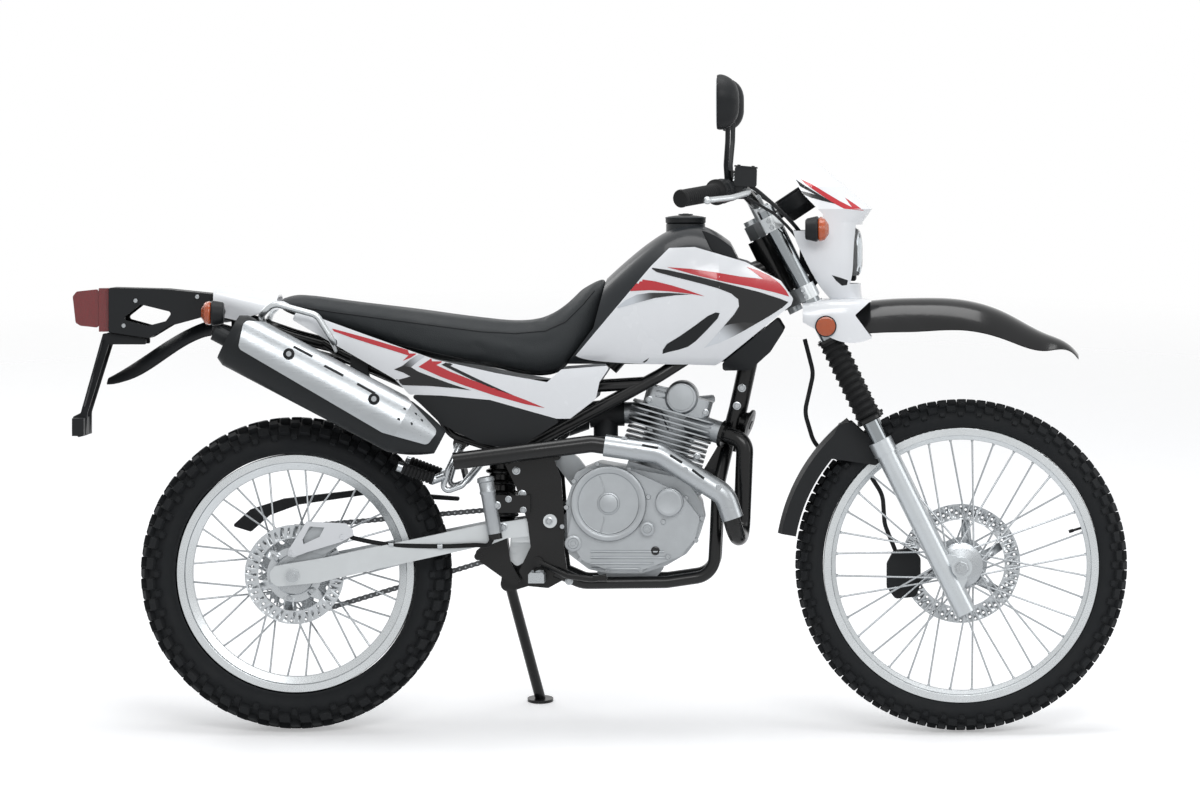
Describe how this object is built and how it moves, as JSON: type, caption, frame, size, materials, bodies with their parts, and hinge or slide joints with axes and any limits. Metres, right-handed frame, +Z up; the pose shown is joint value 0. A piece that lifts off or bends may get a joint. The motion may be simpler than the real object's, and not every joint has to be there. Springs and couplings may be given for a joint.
{
  "type": "dual sport motorcycle",
  "caption": "Dual sport motorcycle leaning on its side stand, with wire wheels, an open single-cylinder engine, high exhaust and white body covers.",
  "frame": {"origin": "on the floor, under the middle of the whole box, the machine leaning to its left on its side stand", "axes": "+X forward, +Y to the machine's left, +Z up"},
  "size_m": [2.153, 0.8201, 1.3775],
  "materials": {
    "frame_black": "gloss",
    "cast_silver": "satin",
    "bright_steel": "brushed",
    "plated_steel": "polished",
    "black_plastic": "matte",
    "grey_plastic": "matte",
    "white_plastic": "gloss",
    "black_gloss": "gloss",
    "signal_orange": "gloss",
    "lamp_red": "gloss",
    "clear_glass": "gloss",
    "tyre_rubber": "matte",
    "black_rubber": "matte",
    "seat_vinyl": "matte"
  },
  "bodies": {
    "chassis": {"frame": "frame_black", "swingarm": "cast_silver", "rear_suspension": "frame_black", "crankcase": "cast_silver", "cylinder": "cast_silver", "cylinder_head": "cast_silver", "intake": "black_plastic", "exhaust_header": "bright_steel", "header_guard": "plated_steel", "muffler": "frame_black", "muffler_guard": "plated_steel", "fuel_tank": "black_gloss", "fuel_cap": "plated_steel", "tank_covers": "white_plastic", "seat": "seat_vinyl", "side_covers": "white_plastic", "side_panels": "black_plastic", "tail_cover": "white_plastic", "rear_fender": "black_plastic", "tail_carrier": "black_plastic", "tail_light": "lamp_red", "plate_bracket": "black_plastic", "rear_signals": "black_plastic", "rear_signal_lenses": "signal_orange", "grab_bars": "plated_steel", "chain_guard": "black_plastic", "drive_chain": "bright_steel", "footpegs": "frame_black", "foot_controls": "cast_silver", "rear_caliper": "cast_silver"},
    "steering": {"triple_clamps": "cast_silver", "fork_tubes": "plated_steel", "fork_boots": "black_rubber", "fork_sliders": "cast_silver", "front_axle": "bright_steel", "handlebar": "frame_black", "bar_controls": "black_rubber", "levers": "cast_silver", "mirrors": "black_plastic", "headlight_cowl": "white_plastic", "headlight": "clear_glass", "instruments": "black_plastic", "fender_base": "white_plastic", "front_fender": "black_plastic", "front_mudguard": "black_plastic", "front_brake": "frame_black", "front_signals": "black_plastic", "front_signal_lenses": "signal_orange"},
    "front_wheel": {"front_tyre": "tyre_rubber", "front_rim": "cast_silver", "front_spokes": "bright_steel", "front_disc": "bright_steel"},
    "rear_wheel": {"rear_tyre": "tyre_rubber", "rear_rim": "cast_silver", "rear_spokes": "bright_steel", "rear_disc": "bright_steel", "rear_sprocket": "bright_steel"},
    "side_stand": {"side_stand": "frame_black"}
  },
  "joints": [
    {"name": "steering", "type": "hinge", "parent": "chassis", "child": "steering", "pos_m": [0.35621, -0.02496, 0.93137], "axis": [-0.4462, 0.1554, 0.8813], "range_deg": [-42, 42]},
    {"name": "front_wheel_spin", "type": "hinge", "parent": "steering", "child": "front_wheel", "pos_m": [0.737, -0.13015, 0.33483], "axis": [0, 0.9848, -0.1736], "continuous": true},
    {"name": "rear_wheel_spin", "type": "hinge", "parent": "chassis", "child": "rear_wheel", "pos_m": [-0.623, -0.13345, 0.31612], "axis": [0, 0.9848, -0.1736], "continuous": true},
    {"name": "side_stand_fold", "type": "hinge", "parent": "chassis", "child": "side_stand", "pos_m": [-0.193, -0.02089, 0.27495], "axis": [0, 0.9954, 0.0955], "range_deg": [0, 104]}
  ]
}
